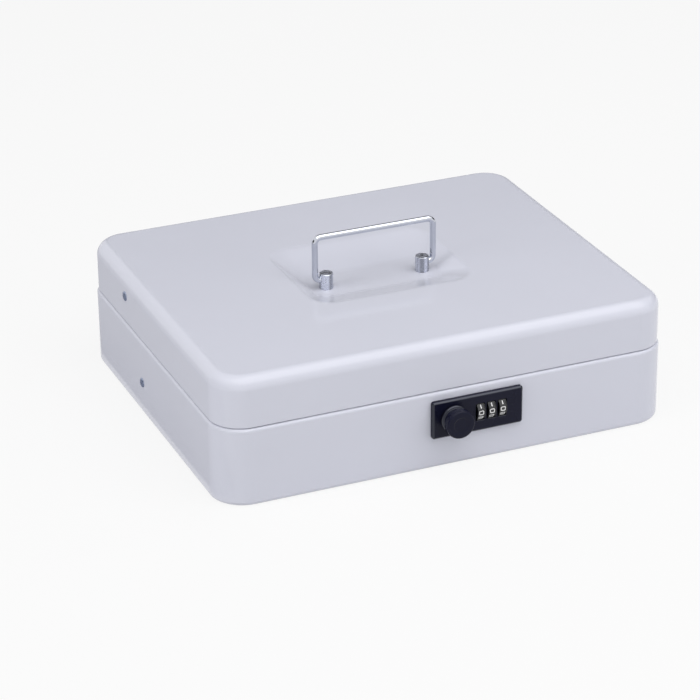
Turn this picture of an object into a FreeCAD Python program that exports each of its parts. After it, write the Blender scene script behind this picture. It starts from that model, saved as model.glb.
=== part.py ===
# Steel cash box with a cantilever coin tray, a swinging wire handle and a three-dial lock.
# Frame: X to the right, Y to the back, Z up; origin at the centre of the resting face.
import FreeCAD, Part
import math
import os
import re

import Sketcher

Vector = FreeCAD.Vector
Rotation = FreeCAD.Rotation

SIZES = {
    # pressed base: drawn pan with a shoulder and a neck the lid closes over
    "base_width": 305, "base_depth": 250, "base_corner": 22, "sheet": 1,
    "base_height": 52, "bottom_round": 3, "shoulder_round": 2.3,
    "neck_inset": 2.6, "neck_top": 59,
    # lid shell and the pressed dish that the handle folds into
    "lid_inset": 1, "lid_bottom": 52.4, "lid_top": 85, "lid_round": 8.5,
    "dish_x": 56, "dish_y": 45.7, "dish_corner": 16, "dish_shift": 2.3,
    "floor_x": 44, "floor_y": 17.5, "floor_corner": 8, "floor_shift": -1.5, "dish_floor": 77.5,
    "dish_rim_round": 4, "dish_floor_round": 4,
    "under_x": 57.4, "under_y": 48.3, "under_corner": 17,
    "under_floor_x": 44.4, "under_floor_y": 17.9, "under_floor_corner": 8,
    # back hinges
    "hinge_y": 124.9, "hinge_z": 52, "hinge_x": 95, "hinge_length": 40,
    "knuckle_radius": 2.3, "pin_radius": 1.25, "pin_clearance": 0.05,
    "middle_knuckle": 19.4, "leaf_bottom": 36, "leaf_top": 69, "hinge_window": 42,
    # tray linkage: pivots on the lid, on the base and on the tray
    "lid_pivot_y": 50, "lid_pivot_z": 70.75, "base_pivot_y": 18.9, "base_pivot_z": 22.85,
    "journal": 2, "journal_clearance": 0.06, "rivet_head": 3.25, "rivet_dome": 1.3,
    "strap": 1.2, "strap_width": 12, "arm_outer_x": 147.4, "bracket_outer_x": 145.8,
    # coin tray
    "tray_x": 144.6, "tray_front": -100, "tray_back": 56, "tray_bottom": 32, "tray_top": 66,
    "tray_wall": 2, "cup_back": -38, "cup_count": 5, "scoop": 16, "tray_corner": 4,
    # wire handle and its posts
    "post_x": 33.7, "handle_y": -4.6, "post_radius": 4.5, "post_top": 88, "handle_z": 83.7,
    "wire": 2, "leg_x": 41.3, "grip_z": 113.5, "lower_bend": 3.6, "upper_bend": 4,
    "stub_x": 31.3, "tail": 2.5, "wire_clearance": 0.08,
    # lock on the front wall
    "plate_left": -14.8, "plate_right": 46.8, "plate_bottom": 21.4, "plate_top": 46.5,
    "plate_thick": 3.2, "plate_corner": 1.6, "plate_round": 0.9, "lock_z": 34.5,
    "knob_x": -1, "dial_x": 17.6, "dial_pitch": 7.4, "dial_radius": 7, "dial_width": 5,
    "dial_y": -123.4, "window_width": 6, "window_height": 11.4, "axle": 1.5,
    "sleeve_radius": 2.9, "sleeve_width": 1.2, "digit_band": 3.2, "digit_sink": 0.35,
    "case_left": -13, "case_right": 45, "case_bottom": 23.6, "case_top": 45.2, "case_back": -111.5,
    "bay_left": 13.6, "bay_right": 37.4, "bay_back": -114.7, "bay_bottom": 25.2, "bay_top": 42.4,
    "spindle": 3, "cam_reach": 26, "cam_width": 9, "cam_front": -110.4, "cam_thick": 2,
    "screw_left": 8.5, "screw_right": 42,
    # catch on the lid that the cam swings over
    "catch_left": -35, "catch_right": -17, "catch_foot": 27, "catch_thick": 1.5,
    "catch_top": 72, "catch_bend": 60, "catch_set": 3.4, "catch_depth": 15,
}

doc = FreeCAD.newDocument("cash_box")
sheet = doc.addObject("Spreadsheet::Sheet", "Sheet")
for row, (alias, size) in enumerate(SIZES.items(), start=1):
    sheet.set("A%d" % row, alias)
    sheet.set("B%d" % row, str(size))
    sheet.setAlias("B%d" % row, alias)
doc.recompute()

pieces = []


def linked(text):
    """Point every size named in an expression at the spreadsheet."""
    def alias(match):
        word = match.group(0)
        return "Sheet." + word if word in SIZES else word
    return re.sub(r"[A-Za-z_]\w*", alias, str(text))


def number(text):
    """Present value of an expression, used as a sketch's first guess."""
    plain = re.sub(r"[A-Za-z_]\w*", lambda match: "(%s)" % SIZES[match.group(0)], text)
    return FreeCAD.Units.Quantity(plain).Value


def bind(item, prop, text):
    item.setExpression(prop, linked(text))


def new_body(label):
    body = doc.addObject("PartDesign::Body", label)
    body.Label = label
    pieces.append(body)
    return body


def locate(item, x, y, z, axis=(0, 0, 1), angle=0):
    """Give a piece its place; the three coordinates are expressions."""
    item.Placement = FreeCAD.Placement(Vector(0, 0, 0), Rotation(Vector(*axis), angle))
    bind(item, "Placement.Base.x", x)
    bind(item, "Placement.Base.y", y)
    bind(item, "Placement.Base.z", z)


def new_sketch(body, role, offset=0, shift=0):
    """Sketch on one of the body's own planes, moved along the plane's normal and along its second axis."""
    sketch = body.newObject("Sketcher::SketchObject", body.Label + "_sketch")
    plane = [item for item in body.Origin.OriginFeatures if item.Role == role][0]
    sketch.AttachmentSupport = [(plane, "")]
    sketch.MapMode = "FlatFace"
    bind(sketch, "AttachmentOffset.Base.y", shift)
    bind(sketch, "AttachmentOffset.Base.z", offset)
    return sketch


def dimension(sketch, constraint, text):
    index = sketch.addConstraint(constraint)
    bind(sketch, "Constraints[%d]" % index, text)


def pin_point(sketch, curve, point, x, y):
    dimension(sketch, Sketcher.Constraint("DistanceX", -1, 1, curve, point, 1.0), x)
    dimension(sketch, Sketcher.Constraint("DistanceY", -1, 1, curve, point, 1.0), y)


def polygon(sketch, points):
    """Closed outline whose corners are driven by pairs of expressions."""
    first = sketch.GeometryCount
    count = len(points)
    ring = [2 * math.pi * k / count for k in range(count + 1)]
    corners = [Vector(math.cos(turn), math.sin(turn), 0) for turn in ring]
    for k in range(count):
        sketch.addGeometry(Part.LineSegment(corners[k], corners[k + 1]))
    for k in range(count):
        sketch.addConstraint(Sketcher.Constraint("Coincident", first + k, 2, first + (k + 1) % count, 1))
    for k, (x, y) in enumerate(points):
        pin_point(sketch, first + k, 1, x, y)


def rectangle(sketch, left, right, low, high):
    polygon(sketch, [(left, low), (right, low), (right, high), (left, high)])


def circle(sketch, x, y, radius):
    curve = sketch.addGeometry(Part.Circle(Vector(0, 0, 0), Vector(0, 0, 1), 1.0))
    pin_point(sketch, curve, 3, x, y)
    dimension(sketch, Sketcher.Constraint("Radius", curve, 1.0), radius)


def soft_rectangle(sketch, half_x, half_y, corner):
    """Rectangle about the origin with four tangent corner arcs."""
    hx, hy, r = number(half_x), number(half_y), number(corner)
    ends = [(-hx + r, -hy, hx - r, -hy), (hx, -hy + r, hx, hy - r),
            (hx - r, hy, -hx + r, hy), (-hx, hy - r, -hx, -hy + r)]
    for x0, y0, x1, y1 in ends:
        sketch.addGeometry(Part.LineSegment(Vector(x0, y0, 0), Vector(x1, y1, 0)))
    middles = [(hx - r, -hy + r), (hx - r, hy - r), (-hx + r, hy - r), (-hx + r, -hy + r)]
    for k, (x, y) in enumerate(middles):
        ring = Part.Circle(Vector(x, y, 0), Vector(0, 0, 1), r)
        sketch.addGeometry(Part.ArcOfCircle(ring, (k - 1) * math.pi / 2, k * math.pi / 2))
    for k in range(4):
        sketch.addConstraint(Sketcher.Constraint("Tangent", k, 2, 4 + k, 1))
        sketch.addConstraint(Sketcher.Constraint("Tangent", 4 + k, 2, (k + 1) % 4, 1))
        dimension(sketch, Sketcher.Constraint("Radius", 4 + k, r), corner)
    sketch.addConstraint(Sketcher.Constraint("Horizontal", 0))
    sketch.addConstraint(Sketcher.Constraint("Vertical", 1))
    sketch.addConstraint(Sketcher.Constraint("Horizontal", 2))
    sketch.addConstraint(Sketcher.Constraint("Vertical", 3))
    dimension(sketch, Sketcher.Constraint("DistanceY", -1, 1, 0, 1, -hy), "-(%s)" % half_y)
    dimension(sketch, Sketcher.Constraint("DistanceX", -1, 1, 1, 1, hx), half_x)
    dimension(sketch, Sketcher.Constraint("DistanceY", -1, 1, 2, 1, hy), half_y)
    dimension(sketch, Sketcher.Constraint("DistanceX", -1, 1, 3, 1, -hx), "-(%s)" % half_x)


def feature(body, kind, sketch, length=None, reverse=False):
    """Pad or pocket of a sketch by a length that follows the spreadsheet."""
    item = body.newObject("PartDesign::" + kind, body.Label + "_" + kind.lower())
    item.Profile = sketch
    bind(item, "Length", length)
    item.Reversed = reverse
    doc.recompute()
    return item


def fillet(body, base, wanted, radius):
    """Round every edge of a feature that passes a test."""
    names = ["Edge%d" % (k + 1) for k, edge in enumerate(base.Shape.Edges) if wanted(edge.BoundBox)]
    item = body.newObject("PartDesign::Fillet", body.Label + "_fillet")
    item.Base = (base, names)
    bind(item, "Radius", radius)
    doc.recompute()
    return item


def level(height):
    """Test for edges that lie flat at one height."""
    return lambda box: abs(box.ZMin - height) < 1e-3 and abs(box.ZMax - height) < 1e-3


def upright(low, high):
    """Test for vertical corner edges between two heights."""
    def test(box):
        thin = box.XLength < 1e-3 and box.YLength < 1e-3
        return thin and box.ZMin > low - 1e-3 and box.ZMax < high + 1e-3
    return test


def turned(label, profile):
    """Piece turned about its own X axis from (along, radius) pairs."""
    body = new_body(label)
    sketch = new_sketch(body, "XZ_Plane")
    polygon(sketch, profile)
    item = body.newObject("PartDesign::Revolution", label + "_turn")
    item.Profile = sketch
    item.ReferenceAxis = (sketch, ["H_Axis"])
    item.Angle = 360
    doc.recompute()
    return body


def block(name, x, y, z, length, width, height):
    item = doc.addObject("Part::Box", name)
    bind(item, "Length", length)
    bind(item, "Width", width)
    bind(item, "Height", height)
    locate(item, x, y, z)
    return item


def rod(name, radius, length, x, y, z, axis=(0, 0, 1), angle=0):
    item = doc.addObject("Part::Cylinder", name)
    bind(item, "Radius", radius)
    bind(item, "Height", length)
    locate(item, x, y, z, axis, angle)
    return item


def fused(name, shapes):
    item = doc.addObject("Part::MultiFuse", name)
    item.Shapes = shapes
    item.Refine = True
    return item


def cut(name, base, tool):
    item = doc.addObject("Part::Cut", name)
    item.Base = base
    item.Tool = tool
    return item


SIDES = (("left", -1), ("right", 1))

# Base shell: the outer pan with its shoulder, the neck, then the hollow inside.
base = new_body("base_shell")
outline = new_sketch(base, "XY_Plane")
soft_rectangle(outline, "base_width/2", "base_depth/2", "base_corner")
pan = feature(base, "Pad", outline, "base_height")
pan = fillet(base, pan, level(0), "bottom_round")
pan = fillet(base, pan, level(SIZES["base_height"]), "shoulder_round")
outline = new_sketch(base, "XY_Plane", "base_height - 1")
soft_rectangle(outline, "base_width/2 - neck_inset", "base_depth/2 - neck_inset", "base_corner - neck_inset")
pan = feature(base, "Pad", outline, "neck_top - base_height + 1")
outline = new_sketch(base, "XY_Plane", "sheet")
soft_rectangle(outline, "base_width/2 - sheet", "base_depth/2 - sheet", "base_corner - sheet")
pan = feature(base, "Pocket", outline, "base_height - 2*sheet", True)
pan = fillet(base, pan, level(SIZES["sheet"]), "bottom_round - sheet")
pan = fillet(base, pan, level(SIZES["base_height"] - SIZES["sheet"]), "shoulder_round - sheet")
outline = new_sketch(base, "XY_Plane", "neck_top")
soft_rectangle(outline, "base_width/2 - neck_inset - sheet", "base_depth/2 - neck_inset - sheet",
               "base_corner - neck_inset - sheet")
pan = feature(base, "Pocket", outline, "neck_top - base_height + sheet + 1")
# Openings in the base: lock cut-out, pivot holes and the two hinge windows.
outline = new_sketch(base, "XZ_Plane", "base_depth/2 + 5")
rectangle(outline, "plate_left + 3.8", "plate_right - 2.7", "lock_z - 8.3", "lock_z + 8.3")
feature(base, "Pocket", outline, "10")
outline = new_sketch(base, "YZ_Plane", "base_width/2 + 5")
circle(outline, "base_pivot_y", "base_pivot_z", "journal")
feature(base, "Pocket", outline, "base_width + 10")
outline = new_sketch(base, "XZ_Plane", "-base_depth/2 - 1")
for name, side in SIDES:
    middle = "%d*hinge_x" % side
    rectangle(outline, middle + " - hinge_window/2", middle + " + hinge_window/2",
              "hinge_z - 3", "neck_top + 2")
feature(base, "Pocket", outline, "8", True)

# Lid shell: drawn cover with a soft top edge and a pressed dish.
lid = new_body("lid_shell")
outline = new_sketch(lid, "XY_Plane", "lid_bottom")
soft_rectangle(outline, "base_width/2 - lid_inset", "base_depth/2 - lid_inset", "base_corner - lid_inset")
cover = feature(lid, "Pad", outline, "lid_top - lid_bottom")
outline = new_sketch(lid, "XY_Plane", "lid_bottom")
soft_rectangle(outline, "base_width/2 - lid_inset - sheet", "base_depth/2 - lid_inset - sheet",
               "base_corner - lid_inset - sheet")
cover = feature(lid, "Pocket", outline, "lid_top - lid_bottom - sheet", True)
cover = fillet(lid, cover, level(SIZES["lid_top"] - SIZES["sheet"]), "lid_round - sheet")
cover = fillet(lid, cover, level(SIZES["lid_top"]), "lid_round")
# The dish: its underside is added first, its hollow is cut after.
lower = new_sketch(lid, "XY_Plane", "dish_floor - sheet", "floor_shift")
soft_rectangle(lower, "under_floor_x", "under_floor_y", "under_floor_corner")
upper = new_sketch(lid, "XY_Plane", "lid_top - sheet/2", "dish_shift")
soft_rectangle(upper, "under_x", "under_y", "under_corner")
bulge = lid.newObject("PartDesign::AdditiveLoft", "dish_underside")
bulge.Profile = lower
bulge.Sections = [upper]
bulge.Ruled = True
doc.recompute()
lower = new_sketch(lid, "XY_Plane", "dish_floor", "floor_shift")
soft_rectangle(lower, "floor_x", "floor_y", "floor_corner")
upper = new_sketch(lid, "XY_Plane", "lid_top", "dish_shift")
soft_rectangle(upper, "dish_x", "dish_y", "dish_corner")
hollow = lid.newObject("PartDesign::SubtractiveLoft", "dish_hollow")
hollow.Profile = lower
hollow.Sections = [upper]
hollow.Ruled = True
doc.recompute()


def dish_rim(box):
    return level(SIZES["lid_top"])(box) and abs(box.Center.x) < 60 and abs(box.Center.y) < 52


cover = fillet(lid, hollow, dish_rim, "dish_rim_round")
cover = fillet(lid, cover, level(SIZES["dish_floor"]), "dish_floor_round")
# Holes in the lid: handle posts, tray pivots and the two hinge windows.
outline = new_sketch(lid, "XY_Plane", "lid_top + 2")
for name, side in SIDES:
    circle(outline, "%d*post_x" % side, "handle_y", "tail")
feature(lid, "Pocket", outline, "15")
outline = new_sketch(lid, "YZ_Plane", "base_width/2 + 5")
circle(outline, "lid_pivot_y", "lid_pivot_z", "journal")
feature(lid, "Pocket", outline, "base_width + 10")
outline = new_sketch(lid, "XZ_Plane", "-base_depth/2 - 1")
for name, side in SIDES:
    middle = "%d*hinge_x" % side
    rectangle(outline, middle + " - hinge_window/2", middle + " + hinge_window/2",
              "lid_bottom - 1", "lid_bottom + 2.8")
feature(lid, "Pocket", outline, "6", True)

# Back hinges: a leaf welded inside each shell, knuckles in the windows, one pin each.
for name, side in SIDES:
    middle = "%d*hinge_x" % side
    half = "hinge_length/2"
    tongue = "(hinge_length - middle_knuckle)/2 - 0.3"
    plate = block("base_plate", middle + " - " + half, "base_depth/2 - 2*sheet", "leaf_bottom",
                  "hinge_length", "sheet", "hinge_z - 2.8 - leaf_bottom")
    solids = [plate]
    for start in (middle + " - " + half, middle + " + middle_knuckle/2 + 0.3"):
        solids.append(block("base_tongue", start, "base_depth/2 - 2*sheet", "hinge_z - 3.5",
                            tongue, "sheet", "3.2"))
        solids.append(rod("base_knuckle", "knuckle_radius", tongue, start, "hinge_y", "hinge_z",
                          (0, 1, 0), 90))
    bore = rod("base_bore", "pin_radius", "hinge_length + 2", middle + " - " + half + " - 1",
               "hinge_y", "hinge_z", (0, 1, 0), 90)
    leaf = cut("hinge_base_leaf_" + name, fused("base_leaf_blank", solids), bore)
    leaf.Label = "hinge_base_leaf_" + name
    pieces.append(leaf)

    plate = block("lid_plate", middle + " - " + half, "base_depth/2 - lid_inset - 2*sheet",
                  "lid_bottom + 2", "hinge_length", "sheet", "leaf_top - lid_bottom - 2")
    tab = block("lid_tab", middle + " - middle_knuckle/2", "base_depth/2 - lid_inset - 1.8*sheet",
                "hinge_z - 0.8", "middle_knuckle", "1.3*sheet", "lid_bottom - hinge_z + 3.4")
    barrel = rod("lid_knuckle", "knuckle_radius", "middle_knuckle", middle + " - middle_knuckle/2",
                 "hinge_y", "hinge_z", (0, 1, 0), 90)
    bore = rod("lid_bore", "pin_radius + pin_clearance", "middle_knuckle + 2",
               middle + " - middle_knuckle/2 - 1", "hinge_y", "hinge_z", (0, 1, 0), 90)
    leaf = cut("hinge_lid_leaf_" + name, fused("lid_leaf_blank", [plate, tab, barrel]), bore)
    leaf.Label = "hinge_lid_leaf_" + name
    pieces.append(leaf)

    pin = rod("hinge_pin_" + name, "pin_radius", "hinge_length + 0.8",
              middle + " - " + half + " - 0.4", "hinge_y", "hinge_z", (0, 1, 0), 90)
    pin.Label = "hinge_pin_" + name
    pieces.append(pin)

# Tray linkage: shouldered rivets, studs, arms and brackets, the same on both sides.
def dome(skin):
    """Low domed head of a rivet standing on a skin, from its crown to its edge."""
    turns = [math.radians(10 * k) for k in range(9)]
    crown = [(skin + " + rivet_dome*%.4f" % math.cos(t), "rivet_head*%.4f" % math.sin(t)) for t in turns]
    return crown + [(skin + " + rivet_dome*0.1", "rivet_head"), (skin, "rivet_head")]


for name, side in SIDES:
    turn = 0 if side > 0 else 180
    wall = "base_width/2"
    skin = "base_width/2 - lid_inset"
    arm_in = "arm_outer_x - strap"
    bracket_in = "bracket_outer_x - strap"
    rivet = turned("base_rivet_" + name, [
        *dome(wall), (wall, "journal"), (wall + " - sheet", "journal"),
        (wall + " - sheet", "journal + 1.2"), ("arm_outer_x + 0.1", "journal + 1.2"),
        ("arm_outer_x + 0.1", "journal"), (arm_in + " - 0.1", "journal"),
        (arm_in + " - 0.1", "rivet_head"), (arm_in + " - 0.9", "rivet_head"), (arm_in + " - 0.9", "0")])
    locate(rivet, 0, "base_pivot_y", "base_pivot_z", (0, 0, 1), turn)
    rivet = turned("lid_rivet_" + name, [
        *dome(skin), (skin, "journal"), (skin + " - sheet", "journal"),
        (skin + " - sheet", "journal + 1.2"), ("bracket_outer_x + 0.1", "journal + 1.2"),
        ("bracket_outer_x + 0.1", "journal"), (bracket_in + " - 0.1", "journal"),
        (bracket_in + " - 0.1", "rivet_head"), (bracket_in + " - 0.9", "rivet_head"),
        (bracket_in + " - 0.9", "0")])
    locate(rivet, 0, "lid_pivot_y", "lid_pivot_z", (0, 0, 1), turn)
    stud = turned("tray_stud_" + name, [
        ("arm_outer_x + 0.9", "0"), ("arm_outer_x + 0.9", "rivet_head - 0.4"),
        ("arm_outer_x + 0.5", "rivet_head"), ("arm_outer_x + 0.1", "rivet_head"),
        ("arm_outer_x + 0.1", "journal"), (bracket_in, "journal"), (bracket_in, "0")])
    locate(stud, 0, "lid_pivot_y + base_pivot_y - hinge_y", "lid_pivot_z + base_pivot_z - hinge_z",
           (0, 0, 1), turn)

    # Arm from the base rivet to the tray stud, parallel to the line from hinge to lid rivet.
    reach_y = "(hinge_y - lid_pivot_y)"
    reach_z = "(lid_pivot_z - hinge_z)"
    reach = "sqrt(%s^2 + %s^2)" % (reach_y, reach_z)
    arm = new_body("tray_arm_" + name)
    start = "arm_outer_x - strap" if side > 0 else "-arm_outer_x"
    outline = new_sketch(arm, "YZ_Plane", start)
    rectangle(outline, "-%s - strap_width/2" % reach, "strap_width/2", "-strap_width/2", "strap_width/2")
    circle(outline, "0", "0", "journal + journal_clearance")
    circle(outline, "-" + reach, "0", "journal + journal_clearance")
    strip = feature(arm, "Pad", outline, "strap")
    fillet(arm, strip, lambda box: box.YLength < 1e-3 and box.ZLength < 1e-3 and abs(box.ZMin) > 5,
           "strap_width/2 - 0.1")
    locate(arm, 0, "base_pivot_y", "base_pivot_z", (1, 0, 0), -10)
    bind(arm, "Placement.Rotation.Angle", "-atan(%s/%s)" % (reach_z, reach_y))

    # Bracket on the tray side, from the tray stud up to the lid rivet.
    span_y = "(hinge_y - base_pivot_y)"
    span_z = "(hinge_z - base_pivot_z)"
    span = "sqrt(%s^2 + %s^2)" % (span_y, span_z)
    bracket = new_body("tray_bracket_" + name)
    start = "bracket_outer_x - strap" if side > 0 else "-bracket_outer_x"
    outline = new_sketch(bracket, "YZ_Plane", start)
    rectangle(outline, "-%s - strap_width/2" % span, "strap_width/2", "-strap_width/2", "strap_width/2")
    circle(outline, "0", "0", "journal + journal_clearance")
    circle(outline, "-" + span, "0", "journal")
    for share in ("0.38", "0.72"):
        circle(outline, "-%s*%s" % (share, span), "0", "1.6")
    strip = feature(bracket, "Pad", outline, "strap")
    fillet(bracket, strip, lambda box: box.YLength < 1e-3 and box.ZLength < 1e-3 and abs(box.ZMin) > 5,
           "strap_width/2 - 0.1")
    locate(bracket, 0, "lid_pivot_y", "lid_pivot_z", (1, 0, 0), 10)
    bind(bracket, "Placement.Rotation.Angle", "atan(%s/%s)" % (span_z, span_y))
    for label, share in (("front", 0.72), ("rear", 0.38)):
        rivet = turned("bracket_rivet_%s_%s" % (name, label), [
            ("bracket_outer_x + 0.3", "0"), ("bracket_outer_x + 0.3", "1.4"),
            ("bracket_outer_x", "1.6"), ("tray_x - tray_wall", "1.6"),
            ("tray_x - tray_wall", "2.8"), ("tray_x - tray_wall - 0.7", "2.2"),
            ("tray_x - tray_wall - 0.7", "0")])
        locate(rivet, 0, "lid_pivot_y - %s*%s" % (share, span_y), "lid_pivot_z - %s*%s" % (share, span_z),
               (0, 0, 1), turn)

# Coin tray: moulded tray with a row of scooped coin cups and two note bays behind them.
tray = new_body("coin_tray")
outline = new_sketch(tray, "XY_Plane", "tray_bottom")
rectangle(outline, "-tray_x", "tray_x", "tray_front", "tray_back")
mould = feature(tray, "Pad", outline, "tray_top - tray_bottom")
outline = new_sketch(tray, "XY_Plane", "tray_top")
cup_step = "((2*tray_x - tray_wall)/cup_count)"
rectangle(outline, "tray_wall - tray_x", cup_step + " - tray_x", "tray_front + tray_wall", "cup_back")
cup = feature(tray, "Pocket", outline, "tray_top - tray_bottom - tray_wall")
row = tray.newObject("PartDesign::LinearPattern", "cup_row")
row.Originals = [cup]
row.Direction = (outline, ["H_Axis"])
bind(row, "Length", cup_step + "*(cup_count - 1)")
bind(row, "Occurrences", "cup_count")
tray.Tip = row
doc.recompute()
outline = new_sketch(tray, "XY_Plane", "tray_top")
rectangle(outline, "tray_wall - tray_x", "-tray_wall/2", "cup_back + tray_wall", "tray_back - tray_wall")
rectangle(outline, "tray_wall/2", "tray_x - tray_wall", "cup_back + tray_wall", "tray_back - tray_wall")
mould = feature(tray, "Pocket", outline, "tray_top - tray_bottom - tray_wall")
cup_floor = SIZES["tray_bottom"] + SIZES["tray_wall"]


def scoop_edge(box):
    return level(cup_floor)(box) and box.YLength < 1e-3 and box.YMin < SIZES["tray_front"] + 5


def tray_front_edge(box):
    return level(SIZES["tray_bottom"])(box) and box.YLength < 1e-3 and box.YMin < SIZES["tray_front"] + 1


def tray_corner_edge(box):
    return upright(SIZES["tray_bottom"], SIZES["tray_top"])(box) and abs(box.XMin) > SIZES["tray_x"] - 0.1


mould = fillet(tray, mould, scoop_edge, "scoop")
mould = fillet(tray, mould, tray_front_edge, "scoop + tray_wall")
mould = fillet(tray, mould, tray_corner_edge, "tray_corner")
outline = new_sketch(tray, "YZ_Plane", "tray_x + 5")
for share in ("0.38", "0.72"):
    circle(outline, "lid_pivot_y - %s*(hinge_y - base_pivot_y)" % share,
           "lid_pivot_z - %s*(hinge_z - base_pivot_z)" % share, "1.6")
mould = feature(tray, "Pocket", outline, "2*tray_x + 10")

# Handle posts, their washers under the dish, and the bent wire handle.
for name, side in SIDES:
    post = turned("post_blank_" + name, [
        ("dish_floor - sheet - 1.9", "0"), ("dish_floor - sheet - 1.9", "tail + 0.6"),
        ("dish_floor - sheet - 1", "tail + 0.6"), ("dish_floor - sheet - 1", "tail"),
        ("dish_floor", "tail"), ("dish_floor", "post_radius"), ("post_top - 0.7", "post_radius"),
        ("post_top", "post_radius - 0.7"), ("post_top", "0")])
    pieces.remove(post)
    locate(post, "%d*post_x" % side, "handle_y", 0, (0, 1, 0), -90)
    start = "stub_x - 0.4" if side > 0 else "-stub_x + 0.4 - 12"
    hole = rod("post_hole", "wire + wire_clearance", "12", start, "handle_y", "handle_z", (0, 1, 0), 90)
    post = cut("handle_post_" + name, post, hole)
    post.Label = "handle_post_" + name
    pieces.append(post)
    washer = turned("post_washer_" + name, [
        ("dish_floor - sheet - 1", "tail"), ("dish_floor - sheet", "tail"),
        ("dish_floor - sheet", "2*tail"), ("dish_floor - sheet - 1", "2*tail")])
    locate(washer, "%d*post_x" % side, "handle_y", 0, (0, 1, 0), -90)


def bend(name, radius, x, z, turn):
    """Quarter ring of handle wire standing in the plane of the handle."""
    item = doc.addObject("Part::Torus", name)
    bind(item, "Radius1", radius)
    bind(item, "Radius2", "wire")
    item.Angle3 = 90
    locate(item, x, "handle_y", z)
    item.Placement.Rotation = Rotation(Vector(1, 0, 0), 90) * Rotation(Vector(0, 0, 1), turn)
    return item


wires = [rod("grip", "wire", "2*(leg_x - upper_bend)", "upper_bend - leg_x", "handle_y", "grip_z", (0, 1, 0), 90)]
for name, side in SIDES:
    wires.append(rod("leg_" + name, "wire", "grip_z - upper_bend - handle_z - lower_bend",
                     "%d*leg_x" % side, "handle_y", "handle_z + lower_bend"))
    start = "stub_x" if side > 0 else "lower_bend - leg_x"
    wires.append(rod("stub_" + name, "wire", "leg_x - lower_bend - stub_x", start, "handle_y", "handle_z",
                     (0, 1, 0), 90))
    wires.append(bend("upper_" + name, "upper_bend", "%d*(leg_x - upper_bend)" % side,
                      "grip_z - upper_bend", 0 if side > 0 else 90))
    wires.append(bend("lower_" + name, "lower_bend", "%d*(leg_x - lower_bend)" % side,
                      "handle_z + lower_bend", 270 if side > 0 else 180))
bail = fused("handle_bail", wires)
bail.Label = "handle_bail"
pieces.append(bail)

# Lock plate on the front wall, with three dial windows and the bore for the knob.
plate = new_body("lock_plate")
outline = new_sketch(plate, "XZ_Plane", "base_depth/2")
rectangle(outline, "plate_left", "plate_right", "plate_bottom", "plate_top")
face = feature(plate, "Pad", outline, "plate_thick")
face = fillet(plate, face, lambda box: box.XLength < 1e-3 and box.ZLength < 1e-3, "plate_corner")
front_y = -SIZES["base_depth"] / 2 - SIZES["plate_thick"]
face = fillet(plate, face, lambda box: abs(box.YMin - front_y) < 1e-3 and abs(box.YMax - front_y) < 1e-3,
              "plate_round")
outline = new_sketch(plate, "XZ_Plane", "base_depth/2 - sheet")
for seat in ("screw_left", "screw_right"):
    circle(outline, seat, "lock_z", "2")
boss = plate.newObject("PartDesign::Pad", "screw_bosses")
boss.Profile = outline
bind(boss, "Length", "2*sheet")
doc.recompute()
outline = new_sketch(plate, "XZ_Plane", "base_depth/2 + plate_thick + 1")
circle(outline, "knob_x", "lock_z", "spindle + 2")
for k in range(3):
    middle = "dial_x + %d*dial_pitch" % k
    rectangle(outline, middle + " - window_width/2", middle + " + window_width/2",
              "lock_z - window_height/2", "lock_z + window_height/2")
feature(plate, "Pocket", outline, "plate_thick + 5")
# Behind each window the plate is hollowed round the wheel, and between windows round the code sleeves.
for k in range(3):
    outline = new_sketch(plate, "YZ_Plane", "dial_x + %d*dial_pitch + window_width/2" % k)
    circle(outline, "dial_y", "lock_z", "dial_radius + 0.35")
    feature(plate, "Pocket", outline, "window_width")
outline = new_sketch(plate, "YZ_Plane", "dial_x + 2*dial_pitch + dial_width/2 + sleeve_width + 0.3")
circle(outline, "dial_y", "lock_z", "sleeve_radius + 0.4")
feature(plate, "Pocket", outline, "2*dial_pitch + dial_width + sleeve_width + 0.6")
outline = new_sketch(plate, "XZ_Plane", "base_depth/2 - 3")
circle(outline, "screw_left", "lock_z", "1.2")
circle(outline, "screw_right", "lock_z", "1.2")
feature(plate, "Pocket", outline, "4.5", True)

# Lock case behind the wall: solid block with a bay for the dials and a bearing for the spindle.
case = new_body("lock_case")
outline = new_sketch(case, "XZ_Plane", "-case_back")
rectangle(outline, "case_left", "case_right", "case_bottom", "case_top")
shell = feature(case, "Pad", outline, "base_depth/2 - sheet + case_back")
outline = new_sketch(case, "XZ_Plane", "base_depth/2")
rectangle(outline, "bay_left", "bay_right", "bay_bottom", "bay_top")
feature(case, "Pocket", outline, "base_depth/2 + bay_back")
outline = new_sketch(case, "XZ_Plane", "base_depth/2")
circle(outline, "knob_x", "lock_z", "spindle + journal_clearance")
circle(outline, "screw_left", "lock_z", "1.5")
circle(outline, "screw_right", "lock_z", "1.5")
feature(case, "Pocket", outline, "20")
outline = new_sketch(case, "YZ_Plane", "bay_right + 2.2")
circle(outline, "dial_y", "lock_z", "axle")
feature(case, "Pocket", outline, "bay_right - bay_left + 4.4")

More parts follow.
